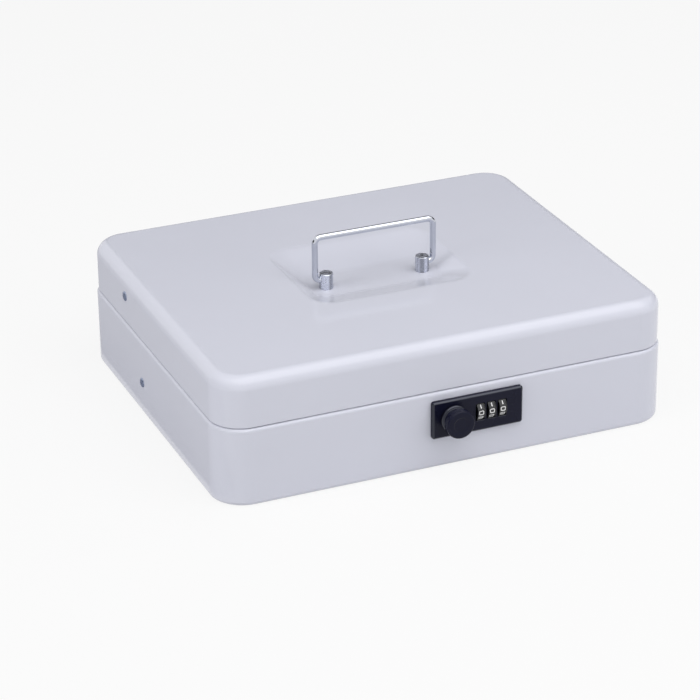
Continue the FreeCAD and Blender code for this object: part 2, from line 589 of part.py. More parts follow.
# Dial parts: one axle, three numbered wheels each with a notched code sleeve.
axle = rod("dial_axle", "axle", "bay_right - bay_left + 4", "bay_left - 2", "dial_y", "lock_z", (0, 1, 0), 90)
axle.Label = "dial_axle"
pieces.append(axle)
for k in range(3):
    wheel = turned("dial_wheel_%d" % (k + 1), [
        ("-dial_width/2", "axle + pin_clearance"), ("dial_width/2", "axle + pin_clearance"),
        ("dial_width/2", "dial_radius - 0.3"), ("dial_width/2 - 0.3", "dial_radius"),
        ("digit_band/2", "dial_radius"), ("digit_band/2", "dial_radius - digit_sink"),
        ("-digit_band/2", "dial_radius - digit_sink"), ("-digit_band/2", "dial_radius"),
        ("0.3 - dial_width/2", "dial_radius"), ("-dial_width/2", "dial_radius - 0.3")])
    outline = new_sketch(wheel, "YZ_Plane", "dial_width/2 + 1")
    circle(outline, "0", "dial_radius + 0.35", "0.75")
    notch = feature(wheel, "Pocket", outline, "dial_width + 2")
    ring = wheel.newObject("PartDesign::PolarPattern", "grip_notches")
    ring.Originals = [notch]
    ring.Axis = (outline, ["N_Axis"])
    ring.Angle = 360
    ring.Occurrences = 10
    wheel.Tip = ring
    doc.recompute()
    locate(wheel, "dial_x + %d*dial_pitch" % k, "dial_y", "lock_z")
    sleeve = new_body("dial_sleeve_%d" % (k + 1))
    outline = new_sketch(sleeve, "YZ_Plane", "dial_width/2")
    circle(outline, "0", "0", "sleeve_radius")
    circle(outline, "0", "0", "axle + pin_clearance")
    feature(sleeve, "Pad", outline, "sleeve_width")
    outline = new_sketch(sleeve, "YZ_Plane", "dial_width/2 + 3")
    rectangle(outline, "-0.9", "0.9", "-sleeve_radius - 1", "0.9 - sleeve_radius")
    feature(sleeve, "Pocket", outline, "5")
    locate(sleeve, "dial_x + %d*dial_pitch" % k, "dial_y", "lock_z")

# Detent spring behind the dials, and the comb bar that the code sleeves release.
spring = new_body("detent_spring")
outline = new_sketch(spring, "XZ_Plane", "-bay_back")
polygon(outline, [("bay_left + 0.2", "lock_z - 6.5"), ("bay_right - 0.2", "lock_z - 6.5"),
                  ("bay_right - 0.2", "lock_z + 5.5"), ("bay_left + 0.2", "lock_z + 5.5")])
feature(spring, "Pad", outline, "0.4")
outline = new_sketch(spring, "XZ_Plane", "-bay_back + 2")
for k in (0.5, 1.5):
    middle = "dial_x + %.1f*dial_pitch" % k
    rectangle(outline, middle + " - 1", middle + " + 1", "lock_z - 4", "lock_z + 7")
feature(spring, "Pocket", outline, "5")
comb = new_body("locking_bar")
outline = new_sketch(comb, "XZ_Plane", "-dial_y - 1.2")
tooth = "dial_x + dial_width/2 + sleeve_width/2"
points = [("bay_left + 0.3", "bay_bottom"), ("bay_right - 0.3", "bay_bottom"),
          ("bay_right - 0.3", "bay_bottom + 1.4")]
for k in (2, 1, 0):
    here = tooth + " + %d*dial_pitch" % k
    points += [(here + " + 0.4", "bay_bottom + 1.4"), (here + " + 0.4", "lock_z - sleeve_radius - 0.5"),
               (here + " - 0.4", "lock_z - sleeve_radius - 0.5"), (here + " - 0.4", "bay_bottom + 1.4")]
points.append(("bay_left + 0.3", "bay_bottom + 1.4"))
polygon(outline, points)
feature(comb, "Pad", outline, "1.6")

# Knob, steel spindle, locking cam and its screw, all on one axis through the front wall.
front = "(base_depth/2 + plate_thick)"


def bead(along, radius, size, first, last, steps):
    """Rounded edge of the knob's profile; angles are measured from its axis."""
    turns = [math.radians(first + (last - first) * k / steps) for k in range(steps + 1)]
    return [(along + size * math.cos(t), radius + size * math.sin(t)) for t in turns]


# Collar against the plate, waist for the fingertips, soft-edged cap with a shallow round dimple.
contour = [(0.4, 4.4), (0.4, 8.8)] + bead(1.9, 7.6, 1.5, 70, 10, 5) + bead(5, 7.9, 1.3, 190, 290, 5)
contour += bead(7.6, 8.3, 1, 210, 110, 5) + bead(11, 8.1, 1.2, 85, 10, 5)
contour += [(12.3, 5.6), (12, 4.9), (12, 0)]
knob = turned("knob", [(front + " - 3", "spindle"), (front + " - 3", "4.4")]
              + [(front + " + %.4f" % along, "%.4f" % radius) for along, radius in contour]
              + [(front + " + 11.2", "0"), (front + " + 11.2", "spindle")])
locate(knob, "knob_x", 0, "lock_z", (0, 0, 1), -90)
spindle = turned("spindle", [
    ("-cam_front - cam_thick", "0"), ("-cam_front - cam_thick", "spindle"),
    (front + " + 11.2", "spindle"), (front + " + 11.2", "0")])
locate(spindle, "knob_x", 0, "lock_z", (0, 0, 1), -90)
cam = new_body("locking_cam")
outline = new_sketch(cam, "XZ_Plane", "-cam_front - cam_thick")
rectangle(outline, "knob_x - cam_width/2", "knob_x + cam_width/2", "lock_z - cam_width/2", "lock_z + cam_reach")
circle(outline, "knob_x", "lock_z", "spindle")
arm = feature(cam, "Pad", outline, "cam_thick")
fillet(cam, arm, lambda box: box.XLength < 1e-3 and box.ZLength < 1e-3 and abs(box.XMin - SIZES["knob_x"]) > 4,
       "cam_width/2 - 0.1")
screw = turned("cam_screw", [
    ("-cam_front - cam_thick - 2.2", "0"), ("-cam_front - cam_thick - 2.2", "3.2"),
    ("-cam_front - cam_thick - 1.6", "4"), ("-cam_front - cam_thick", "4"), ("-cam_front - cam_thick", "0")])
locate(screw, "knob_x", 0, "lock_z", (0, 0, 1), -90)
for name in ("left", "right"):
    screw = turned("lock_screw_" + name, [
        ("-case_back - 1.8", "0"), ("-case_back - 1.8", "2.1"), ("-case_back - 1.2", "2.7"),
        ("-case_back", "2.7"), ("-case_back", "1.2"), ("base_depth/2 + 1.4", "1.2"),
        ("base_depth/2 + 1.4", "0")])
    locate(screw, "screw_" + name, 0, "lock_z", (0, 0, 1), -90)

# Catch on the inside of the lid front; its foot lies under the cam when the knob is turned.
catch = new_body("lid_catch")
outline = new_sketch(catch, "YZ_Plane", "catch_left")
skin = "(lid_inset + sheet - base_depth/2)"
step = "(%s + catch_set)" % skin
polygon(outline, [
    (skin, "catch_top"), (skin, "catch_bend + 1.6"), (step, "catch_bend"), (step, "catch_foot"),
    (skin + " + catch_depth", "catch_foot"), (skin + " + catch_depth", "catch_foot + catch_thick"),
    (step + " + catch_thick", "catch_foot + catch_thick"), (step + " + catch_thick", "catch_bend + 0.9"),
    (skin + " + catch_thick", "catch_bend + 2.5"), (skin + " + catch_thick", "catch_top")])
feature(catch, "Pad", outline, "catch_right - catch_left")

doc.recompute()
for item in doc.Objects:
    if "Invalid" in item.State or "Error" in item.State:
        raise RuntimeError("feature failed: " + item.Name)
os.makedirs("parts", exist_ok=True)
for piece in pieces:
    shape = piece.Shape
    if shape.isNull() or not shape.isValid() or len(shape.Solids) != 1:
        raise RuntimeError("bad shape: %s with %d solids" % (piece.Label, len(shape.Solids)))
    shape.exportStep("parts/%s.step" % piece.Label)
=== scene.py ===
import math
import bmesh
import bpy
from mathutils import Matrix, Vector


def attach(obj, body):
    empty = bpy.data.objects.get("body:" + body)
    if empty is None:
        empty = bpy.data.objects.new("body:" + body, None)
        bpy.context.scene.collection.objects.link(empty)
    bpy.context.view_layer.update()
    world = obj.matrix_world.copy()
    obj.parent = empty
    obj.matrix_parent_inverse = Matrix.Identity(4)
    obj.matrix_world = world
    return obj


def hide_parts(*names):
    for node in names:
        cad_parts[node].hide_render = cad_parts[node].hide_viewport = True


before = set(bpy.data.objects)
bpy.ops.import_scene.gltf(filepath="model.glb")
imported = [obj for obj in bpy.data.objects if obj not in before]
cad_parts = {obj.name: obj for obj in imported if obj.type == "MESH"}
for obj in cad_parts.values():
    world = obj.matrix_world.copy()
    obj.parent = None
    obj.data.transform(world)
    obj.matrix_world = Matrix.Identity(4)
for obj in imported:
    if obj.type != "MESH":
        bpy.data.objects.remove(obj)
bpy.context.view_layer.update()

# Base pan: one drawn sheet-steel pan, a millimetre thick, with rounded corners and a flat bottom.
# Its mouth is pressed in to a shoulder and a neck that the lid closes over; the lock opening,
# the pivot holes and the hinge windows are punched before the white powder coat is baked on.
mm = 0.001
half_width, half_depth, corner_radius = 152.5, 125, 22
base_pivot = (18.9, 22.85)
pivot_bore, through_both = 2, 320
hinge_x, hinge_reach = 95, 21


def placed(name, data):
    """New object with that data, put into the scene."""
    piece = bpy.data.objects.new(name, data)
    bpy.context.scene.collection.objects.link(piece)
    return piece


def mesh_from(name, shape):
    """Mesh made of a finished shape, which is then let go."""
    mesh = bpy.data.meshes.new(name)
    shape.to_mesh(mesh)
    shape.free()
    return mesh


def soft_ring(half_x, half_y, corner, height, turns=16):
    """Corner points of a rounded rectangle about the middle of the box, in millimetres."""
    points = []
    for k, (side_x, side_y) in enumerate(((1, -1), (1, 1), (-1, 1), (-1, -1))):
        for step in range(turns + 1):
            angle = (k - 1 + step / turns) * math.pi / 2
            x = side_x * (half_x - corner) + corner * math.cos(angle)
            y = side_y * (half_y - corner) + corner * math.sin(angle)
            points.append(Vector((x, y, height)) * mm)
    return points


def wall_ring(inset, height):
    """Ring round the walls of the box, moved in by an inset from the outside."""
    return soft_ring(half_width - inset, half_depth - inset, max(corner_radius - inset, 4), height)


def arc(centre_inset, centre_z, radius, start, end, steps):
    """Inset and height along a bend of the sheet; 0 degrees points out, 90 points up."""
    for k in range(steps + 1):
        angle = math.radians(start + (end - start) * k / steps)
        yield centre_inset - radius * math.cos(angle), centre_z + radius * math.sin(angle)


def pressed_shell(name, rings):
    """Closed sheet-metal skin through a row of rings, capped at its first and last ring."""
    shape = bmesh.new()
    loops = [[shape.verts.new(p) for p in ring] for ring in rings]
    count = len(loops[0])
    for low, high in zip(loops, loops[1:]):
        for k in range(count):
            after = (k + 1) % count
            shape.faces.new((low[k], low[after], high[after], high[k]))
    shape.faces.new(loops[0][::-1])
    shape.faces.new(loops[-1])
    return placed(name, mesh_from(name, shape))


def shown_mesh(piece):
    """Plain copy of the mesh that a piece shows with its modifiers."""
    bpy.context.view_layer.update()
    return bpy.data.meshes.new_from_object(piece.evaluated_get(bpy.context.evaluated_depsgraph_get()))


def apply_modifiers(piece):
    """Make what a piece shows its own mesh and take its modifiers off."""
    mesh = shown_mesh(piece)
    piece.modifiers.clear()
    old = piece.data
    piece.data = mesh
    mesh.name = piece.name
    bpy.data.meshes.remove(old)


def settle(piece, sharp=35):
    """Apply a piece's modifiers and shade it: smooth curves, crisp edges, true flats."""
    apply_modifiers(piece)
    piece.data.shade_smooth()
    piece.data.set_sharp_from_angle(angle=math.radians(sharp))
    even = piece.modifiers.new("even_shading", "WEIGHTED_NORMAL")
    even.keep_sharp = True
    even.weight = 100
    apply_modifiers(piece)


def punch_box(shape, low, high):
    """Rectangular punch between two corners, in millimetres."""
    low, high = Vector(low), Vector(high)
    place = Matrix.Translation((low + high) / 2 * mm) @ Matrix.Diagonal(((high - low) * mm).to_4d())
    bmesh.ops.create_cube(shape, size=1, matrix=place)


def punch_rod(shape, centre, axis, radius, length):
    """Round punch about an axis, in millimetres."""
    turn = Vector((0, 0, 1)).rotation_difference(Vector(axis)).to_matrix().to_4x4()
    bmesh.ops.create_cone(shape, cap_ends=True, segments=40, radius1=radius * mm, radius2=radius * mm,
                          depth=length * mm, matrix=Matrix.Translation(Vector(centre) * mm) @ turn)


def punch_hinge_window(shape, side, low, high):
    """Window in the back wall for the knuckles of one hinge, between two heights."""
    middle = hinge_x * side
    inside, outside = 118, 126
    punch_box(shape, (middle - hinge_reach, inside, low), (middle + hinge_reach, outside, high))


def punched(piece, tool):
    """Cut the punches out of a piece and leave it a plain mesh with even shading."""
    mesh = mesh_from("punches", tool)
    cutter = placed("punches", mesh)
    cut = piece.modifiers.new("punch", "BOOLEAN")
    cut.object = cutter
    cut.solver = "EXACT"
    settle(piece)
    bpy.data.objects.remove(cutter)
    bpy.data.meshes.remove(mesh)


pan_profile = [(30, 0)]
pan_profile += arc(3, 3, 3, -90, 0, 8)  # outside of the bottom bend
pan_profile += arc(2.3, 49.7, 2.3, 0, 90, 8)  # shoulder
pan_profile += [(2.55, 52), (2.6, 52.05)]
pan_profile += arc(3.1, 58.5, 0.5, 0, 180, 8)  # rim of the neck
pan_profile += [(3.6, 51.1), (3.5, 51)]
pan_profile += arc(2.3, 49.7, 1.3, 90, 0, 6)  # inside of the shoulder
pan_profile += arc(3, 3, 2, 0, -90, 6)  # inside of the bottom bend
pan_profile += [(30, 1)]
base_pan = pressed_shell("base_pan", [wall_ring(inset, z) for inset, z in pan_profile])
punches = bmesh.new()
punch_box(punches, (-11, -130, 26.2), (44.1, -120, 42.8))  # lock opening
punch_rod(punches, (0, *base_pivot), (1, 0, 0), pivot_bore, through_both)
for side in (-1, 1):
    punch_hinge_window(punches, side, 49, 62)
punched(base_pan, punches)


def node_tree(name, kind, inputs, outputs):
    """Node group with named sockets; inputs and outputs give the type of each."""
    tree = bpy.data.node_groups.new(name, kind + "NodeTree")
    for way, sockets in (("INPUT", inputs), ("OUTPUT", outputs)):
        for socket, form in sockets.items():
            tree.interface.new_socket(socket, in_out=way, socket_type="NodeSocket" + form)
    return tree


def skin_group():
    """Fine uneven skin over a surface: gives a normal, and a mask that drifts slowly from place to place."""
    group = node_tree("uneven_skin", "Shader", {"Scale": "Float", "Depth": "Float", "Drift": "Float"},
                      {"Normal": "Vector", "Mask": "Float"})
    add, link = group.nodes.new, group.links.new
    enter, leave, place = add("NodeGroupInput"), add("NodeGroupOutput"), add("ShaderNodeTexCoord")
    grain, drift, bump = add("ShaderNodeTexNoise"), add("ShaderNodeTexNoise"), add("ShaderNodeBump")
    grain.inputs["Detail"].default_value = 1.5
    drift.inputs["Detail"].default_value = 3
    bump.inputs["Distance"].default_value = 0.001
    link(place.outputs["Object"], grain.inputs["Vector"])
    link(place.outputs["Object"], drift.inputs["Vector"])
    link(enter.outputs["Scale"], grain.inputs["Scale"])
    link(enter.outputs["Drift"], drift.inputs["Scale"])
    link(enter.outputs["Depth"], bump.inputs["Strength"])
    link(grain.outputs["Fac"], bump.inputs["Height"])
    link(bump.outputs["Normal"], leave.inputs["Normal"])
    link(drift.outputs["Fac"], leave.inputs["Mask"])
    return group


uneven_skin = skin_group()


def by_id(sockets, identifier):
    """Socket with that identifier, for a node with several sockets of one name."""
    return next(socket for socket in sockets if socket.identifier == identifier)


def ramp(tree, *span):
    """New node that maps values; the span is the lowest and highest value in, then out."""
    node = tree.nodes.new("ShaderNodeMapRange")
    for socket, size in zip(("From Min", "From Max", "To Min", "To Max"), span):
        node.inputs[socket].default_value = size
    return node


def finish(name, dark, light, rough, metal=0, scale=700, depth=0.03, drift=9, specular=0.5, tint=(1, 1, 1)):
    """Material with an uneven skin: tone and gloss wander a little between two values."""
    material = bpy.data.materials.new(name)
    material.use_nodes = True
    tree = material.node_tree
    shader = tree.nodes["Principled BSDF"]
    shader.inputs["Metallic"].default_value = metal
    shader.inputs["Specular IOR Level"].default_value = specular
    shader.inputs["Specular Tint"].default_value = (*tint, 1)
    skin = tree.nodes.new("ShaderNodeGroup")
    skin.node_tree = uneven_skin
    for socket, size in (("Scale", scale), ("Depth", depth), ("Drift", drift)):
        skin.inputs[socket].default_value = size
    tone = tree.nodes.new("ShaderNodeMix")
    tone.data_type = "RGBA"
    by_id(tone.inputs, "A_Color").default_value = (*dark, 1)
    by_id(tone.inputs, "B_Color").default_value = (*light, 1)
    gloss = ramp(tree, 0.3, 0.7, *rough)
    link = tree.links.new
    link(skin.outputs["Mask"], by_id(tone.inputs, "Factor_Float"))
    link(by_id(tone.outputs, "Result_Color"), shader.inputs["Base Color"])
    link(skin.outputs["Mask"], gloss.inputs["Value"])
    link(gloss.outputs["Result"], shader.inputs["Roughness"])
    link(skin.outputs["Normal"], shader.inputs["Normal"])
    return material


white_paint = finish("white_powder_coat", (0.60, 0.61, 0.69), (0.64, 0.65, 0.735), (0.10, 0.15),
                     specular=0.4)


def fit(piece, look, body, slot, *stands_for):
    """Give a finished piece its material, the body it moves with and the built parts it stands for."""
    piece.data.materials.clear()
    piece.data.materials.append(look)
    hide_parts(*stands_for)
    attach(piece, body)


fit(base_pan, white_paint, "base", "white_paint", "base_shell")

# Back hinges: folded steel leaves welded inside the two shells, with knuckles that meet in the windows
# at the parting line and turn on one steel pin each. The leaves are coated with the shells.


def dress(node, edge, look, body, slot):
    """Fit a copy of the built part of that name, with its sharp edges broken by some millimetres."""
    shape = bmesh.new()
    shape.from_mesh(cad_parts[node].data)
    bmesh.ops.remove_doubles(shape, verts=shape.verts, dist=1e-6)
    bmesh.ops.dissolve_limit(shape, angle_limit=math.radians(0.5), verts=shape.verts, edges=shape.edges)
    name = node + "_dressed"
    piece = placed(name, mesh_from(name, shape))
    broken = piece.modifiers.new("broken_edges", "BEVEL")
    broken.width = edge * mm
    broken.segments = 2
    broken.limit_method = "ANGLE"
    broken.angle_limit = math.radians(40)
    settle(piece)
    fit(piece, look, body, slot, node)


zinc = finish("zinc_plate", (0.42, 0.43, 0.45), (0.52, 0.53, 0.55), (0.22, 0.36), 1, 1400, 0.06, 160)
for hand in ("left", "right"):
    dress("hinge_base_leaf_" + hand, 0.15, white_paint, "base", "white_paint")
    dress("hinge_lid_leaf_" + hand, 0.15, white_paint, "lid", "white_paint")
    dress("hinge_pin_" + hand, 0.25, zinc, "base", "zinc_steel")

# Lock cover: black moulded plate over the hole in the front wall, its front edge bevelled, with three
# dial windows and a shallow seat for the knob. Screws from behind clamp it against the case.
lock_z, knob_x, cover_y = 34.5, -1, -128.2
dial_y, dial_xs = -123.4, [17.6 + 7.4 * k for k in range(3)]
black_plastic = finish("black_moulding", (0.004, 0.0045, 0.0165), (0.007, 0.0075, 0.021), (0.24, 0.32),
                       0, 2600, 0.06, 60, specular=0.16)


def front_place(x, z, y=-half_depth):
    """Turn a piece made flat on its back so that it faces forward at a point of the front wall."""
    axes = Matrix(((1, 0, 0), (0, 0, -1), (0, 1, 0))).to_4x4()
    return Matrix.Translation(Vector((x, y, z)) * mm) @ axes


cover_edge = [(0, 0), (0, 2.1), (0.06, 2.28), (0.2, 2.42), (0.75, 2.97), (0.93, 3.12), (1.15, 3.2)]
cover_rings = []
for inset, out in cover_edge:
    cover_rings.append(soft_ring(30.8 - inset, 12.55 - inset, max(1.7 - inset, 0.55), out, 8))
cover = pressed_shell("lock_cover", cover_rings)
cover.data.transform(front_place(16, 33.95))
punches = bmesh.new()
punch_rod(punches, (knob_x, cover_y, lock_z), (0, 1, 0), 9.6, 1.0)  # seat of the knob
punch_rod(punches, (knob_x, -127, lock_z), (0, 1, 0), 5, 8)  # spindle hole
punch_rod(punches, (25.5, dial_y, lock_z), (1, 0, 0), 3.3, 22)  # room for the axle and its sleeves
punched(cover, punches)
window_lips = [(3, 5.7, 0.8, -6), (3, 5.7, 0.8, 2.75), (3.15, 5.85, 0.95, 3.05), (3.6, 6.3, 1.4, 3.5)]
for x in dial_xs:
    window = pressed_shell("window", [soft_ring(*lip, 6) for lip in window_lips])
    window.data.transform(front_place(x, lock_z))
    punches = bmesh.new()
    punches.from_mesh(window.data)
    bpy.data.objects.remove(window)
    punched(cover, punches)
    punches = bmesh.new()
    punch_rod(punches, (x, dial_y, lock_z), (1, 0, 0), 7.35, 6)  # room for the wheel
    punched(cover, punches)
fit(cover, black_plastic, "base", "black_plastic", "lock_plate")
black_gloss = finish("polished_moulding", (0.003, 0.003, 0.008), (0.006, 0.006, 0.013), (0.14, 0.2),
                     0, 2600, 0.02, 60, specular=0.6, tint=(0.82, 0.86, 1))


def recoat(piece, look, chosen):
    """Give the faces of a fitted piece that a test picks a second material."""
    piece.data.materials.append(look)
    for face in piece.data.polygons:
        if chosen(face):
            face.material_index = 1


bevel_y = -127.3
recoat(cover, black_gloss, lambda face: face.center.y < bevel_y * mm and -0.95 < face.normal.y < -0.3)

# Lock case and its works behind the wall: moulded block with a bay for the dials, a steel axle, a spring
# leaf over the wheels, and the comb bar. Two slotted screws pull the case and cover together.
dress("lock_case", 0.4, black_plastic, "base", "black_plastic")
dress("dial_axle", 0.2, zinc, "base", "zinc_steel")
dress("detent_spring", 0.05, zinc, "base", "zinc_steel")
dress("locking_bar", 0.12, zinc, "base", "zinc_steel")


def lathed(name, profile, start=(0, 0, 0), axis=(0, 0, 1), segments=64):
    """Turned piece: (along, radius) pairs in millimetres about an axis through a start point."""
    shape = bmesh.new()
    loops = []
    turns = [2 * math.pi * k / segments for k in range(segments)]
    for along, radius in profile:
        spots = [(0, 0, along)]
        if radius:
            spots = [(radius * math.cos(t), radius * math.sin(t), along) for t in turns]
        loops.append([shape.verts.new(Vector(spot) * mm) for spot in spots])
    for low, high in zip(loops, loops[1:]):
        for k in range(segments):
            near, far = k, (k + 1) % segments
            ring = [low[near % len(low)], low[far % len(low)], high[far % len(high)], high[near % len(high)]]
            shape.faces.new(list(dict.fromkeys(ring)))
    bmesh.ops.remove_doubles(shape, verts=shape.verts, dist=1e-7)
    bmesh.ops.recalc_face_normals(shape, faces=shape.faces)
    mesh = mesh_from(name, shape)
    turn = Vector((0, 0, 1)).rotation_difference(Vector(axis)).to_matrix().to_4x4()
    mesh.transform(Matrix.Translation(Vector(start) * mm) @ turn)
    return placed(name, mesh)


def bead(along, radius, size, first, last, steps=5):
    """Rounded edge of a turned piece; angles are measured from the axis."""
    turns = [math.radians(first + (last - first) * k / steps) for k in range(steps + 1)]
    return [(along + size * math.cos(t), radius + size * math.sin(t)) for t in turns]


def fastener_tree():
    """One fastener set at every point of a row; each points along the direction kept on its point."""
    inputs = {"Holes": "Geometry", "Fastener": "Object", "Look": "Material"}
    tree = node_tree("set_fasteners", "Geometry", inputs, {"Set": "Geometry"})
    add, link = tree.nodes.new, tree.links.new
    enter, leave, pick = add("NodeGroupInput"), add("NodeGroupOutput"), add("GeometryNodeObjectInfo")
    aim, turn = add("GeometryNodeInputNamedAttribute"), add("FunctionNodeAlignRotationToVector")
    stand = add("GeometryNodeInstanceOnPoints")
    aim.data_type = "FLOAT_VECTOR"
    aim.inputs["Name"].default_value = "axis"
    turn.axis = "Z"
    real, coat = add("GeometryNodeRealizeInstances"), add("GeometryNodeSetMaterial")
    link(enter.outputs["Fastener"], pick.inputs["Object"])
    link(aim.outputs["Attribute"], turn.inputs["Vector"])
    link(enter.outputs["Holes"], stand.inputs["Points"])
    link(turn.outputs["Rotation"], stand.inputs["Rotation"])
    link(pick.outputs["Geometry"], stand.inputs["Instance"])
    link(stand.outputs["Instances"], real.inputs[0])
    link(real.outputs[0], coat.inputs["Geometry"])
    link(enter.outputs["Look"], coat.inputs["Material"])
    link(coat.outputs[0], leave.inputs["Set"])
    return tree


def grown(piece, tree, **sizes):
    """Run a node tree on a piece and keep the result as a plain mesh object of the same name."""
    grow = piece.modifiers.new("grow", "NODES")
    grow.node_group = tree
    for item in tree.interface.items_tree:
        key = item.name.replace(" ", "_").lower()
        if item.in_out == "INPUT" and key in sizes:
            grow[item.identifier] = sizes[key]
    mesh = shown_mesh(piece)
    name = piece.name
    bpy.data.objects.remove(piece)
    mesh.name = name
    return placed(name, mesh)


set_fasteners = fastener_tree()


def fastened(name, fastener, look, holes):
    """Row of like fasteners as one piece; each hole is a point and a direction, in millimetres."""
    mesh = bpy.data.meshes.new(name)
    mesh.from_pydata([Vector(spot) * mm for spot, axis in holes], [], [])
    aims = mesh.attributes.new("axis", "FLOAT_VECTOR", "POINT")
    for k, (spot, axis) in enumerate(holes):
        aims.data[k].vector = axis
    row = grown(placed(name, mesh), set_fasteners, fastener=fastener, look=look)
    bpy.data.objects.remove(fastener)
    settle(row)
    return row


def slotted(screw, height, width, depth, reach):
    """Cut a driver slot across the head of a screw that stands along Z."""
    punches = bmesh.new()
    punch_box(punches, (-reach, -width / 2, height - depth), (reach, width / 2, height + 1))
    punched(screw, punches)
    return screw


profile = [(-14.9, 0), (-14.9, 1.0), (-14.7, 1.2), (0, 1.2), (0, 2.6)]
profile += bead(1.1, 2.0, 0.7, 60, 0) + [(1.8, 0)]
screw = slotted(lathed("screw", profile, segments=32), height=1.8, width=0.7, depth=0.8, reach=4)
screws = fastened("lock_screws", screw, zinc, [((x, -111.5, lock_z), (0, 1, 0)) for x in (8.5, 42)])
fit(screws, zinc, "base", "zinc_steel", "lock_screw_left", "lock_screw_right")

# Number wheels: black moulded wheels with ten flats, each printed with a white digit, a low finger rib
# between the flats and a raised rim at each side. They stand a little out of the windows and turn on one
# axle; a notched code sleeve is keyed to the side of each.
wheel_black = finish("wheel_moulding", (0.004, 0.004, 0.006), (0.008, 0.008, 0.011), (0.16, 0.24),
                     0, 3000, 0.03, 200, specular=0.75)
digit_white = finish("digit_white", (0.78, 0.78, 0.78), (0.86, 0.86, 0.86), (0.40, 0.50), 0, 2000, 0.03, 300)


def rib_tree():
    """Ribs set evenly round a wheel about the X axis, joined to the wheel they are grown on."""
    inputs = {"Wheel": "Geometry", "Rim radius": "Float", "Rib size": "Vector", "Ribs": "Int"}
    inputs["Look"] = "Material"
    tree = node_tree("finger_ribs", "Geometry", inputs, {"Ribbed": "Geometry"})
    add, link = tree.nodes.new, tree.links.new
    enter, leave = add("NodeGroupInput"), add("NodeGroupOutput")
    ring, rib = add("GeometryNodeMeshCircle"), add("GeometryNodeMeshCube")
    stand = add("GeometryNodeInstanceOnPoints")
    place, turn = add("GeometryNodeInputPosition"), add("FunctionNodeAlignRotationToVector")
    turn.axis = "X"
    rim, join = add("GeometryNodeTransform"), add("GeometryNodeJoinGeometry")
    rim.inputs["Rotation"].default_value = (0, math.pi / 2, 0)
    real, coat = add("GeometryNodeRealizeInstances"), add("GeometryNodeSetMaterial")
    link(enter.outputs["Ribs"], ring.inputs["Vertices"])
    link(enter.outputs["Rim radius"], ring.inputs["Radius"])
    link(enter.outputs["Rib size"], rib.inputs["Size"])
    link(ring.outputs["Mesh"], stand.inputs["Points"])
    link(place.outputs["Position"], turn.inputs["Vector"])
    link(turn.outputs["Rotation"], stand.inputs["Rotation"])
    link(rib.outputs["Mesh"], stand.inputs["Instance"])
    link(stand.outputs["Instances"], rim.inputs["Geometry"])
    link(enter.outputs["Wheel"], join.inputs[0])
    link(rim.outputs[0], join.inputs[0])
    link(join.outputs[0], real.inputs[0])
    link(real.outputs[0], coat.inputs["Geometry"])
    link(enter.outputs["Look"], coat.inputs["Material"])
    link(coat.outputs[0], leave.inputs["Ribbed"])
    return tree


finger_ribs = rib_tree()

digit_lines = {
    0: [[(-1, -1), (1, -1), (1, 1), (-1, 1), (-1, -1)]],
    1: [[(0, -1), (0, 1)]],
    2: [[(-1, 1), (1, 1), (1, 0), (-1, 0), (-1, -1), (1, -1)]],
    3: [[(-1, 1), (1, 1), (1, -1), (-1, -1)], [(-0.4, 0), (1, 0)]],
    4: [[(-1, 1), (-1, 0), (1, 0)], [(0.6, 1), (0.6, -1)]],
    5: [[(1, 1), (-1, 1), (-1, 0), (1, 0), (1, -1), (-1, -1)]],
    6: [[(1, 1), (-1, 1), (-1, -1), (1, -1), (1, 0), (-1, 0)]],
    7: [[(-1, 1), (1, 1), (0, -1)]],
    8: [[(-1, -1), (1, -1), (1, 1), (-1, 1), (-1, -1)], [(-1, 0), (1, 0)]],
    9: [[(-1, -1), (1, -1), (1, 1), (-1, 1), (-1, 0), (1, 0)]],
}
digits_round = len(digit_lines)


def eased(spots, share=0.16):
    """Line through spots with a share of each stroke cut off at its corners, and whether it is closed."""
    closed = spots[0] == spots[-1]
    track = [] if closed else [spots[0]]
    for k in range(0 if closed else 1, len(spots) - 1):
        before = spots[-2] if k == 0 else spots[k - 1]
        track += [spots[k].lerp(before, share), spots[k].lerp(spots[k + 1], share)]
    track += [] if closed else [spots[-1]]
    return track, closed


def printed_digits(flat, half_wide, half_high, stroke):
    """Ten block digits on the flats of a wheel about the X axis, 0 to the front and rising upwards."""
    ring = bmesh.new()
    for digit, lines in digit_lines.items():
        pen = bpy.data.curves.new("digit", "CURVE")
        pen.dimensions = "3D"
        pen.bevel_depth = stroke / 2 * mm
        pen.bevel_resolution = 1
        pen.use_fill_caps = True
        for line in lines:
            spots = [Vector((x * half_wide * mm, y * half_high * mm, 0, 1)) for x, y in line]
            track, closed = eased(spots)
            run = pen.splines.new("POLY")
            run.points.add(len(track) - 1)
            run.use_cyclic_u = closed
            for point, spot in zip(run.points, track):
                point.co = spot
        sign = placed("digit", pen)
        mesh = shown_mesh(sign)
        bpy.data.objects.remove(sign)
        mesh.transform(Matrix.Translation((0, 0, flat * mm)) @ Matrix.Diagonal((1, 1, 0.15, 1)))
        turn = math.radians(-360 / digits_round * digit)
        mesh.transform(Matrix.Rotation(turn, 4, "X") @ front_place(0, 0, 0))
        ring.from_mesh(mesh)
        bpy.data.meshes.remove(mesh)
    bmesh.ops.remove_doubles(ring, verts=ring.verts, dist=1e-7)
    bmesh.ops.recalc_face_normals(ring, faces=ring.faces)
    return mesh_from("digits", ring)


def merge(piece, mesh):
    """Add the faces of another mesh to a piece."""
    shape = bmesh.new()
    shape.from_mesh(piece.data)
    shape.from_mesh(mesh)
    shape.to_mesh(piece.data)
    shape.free()


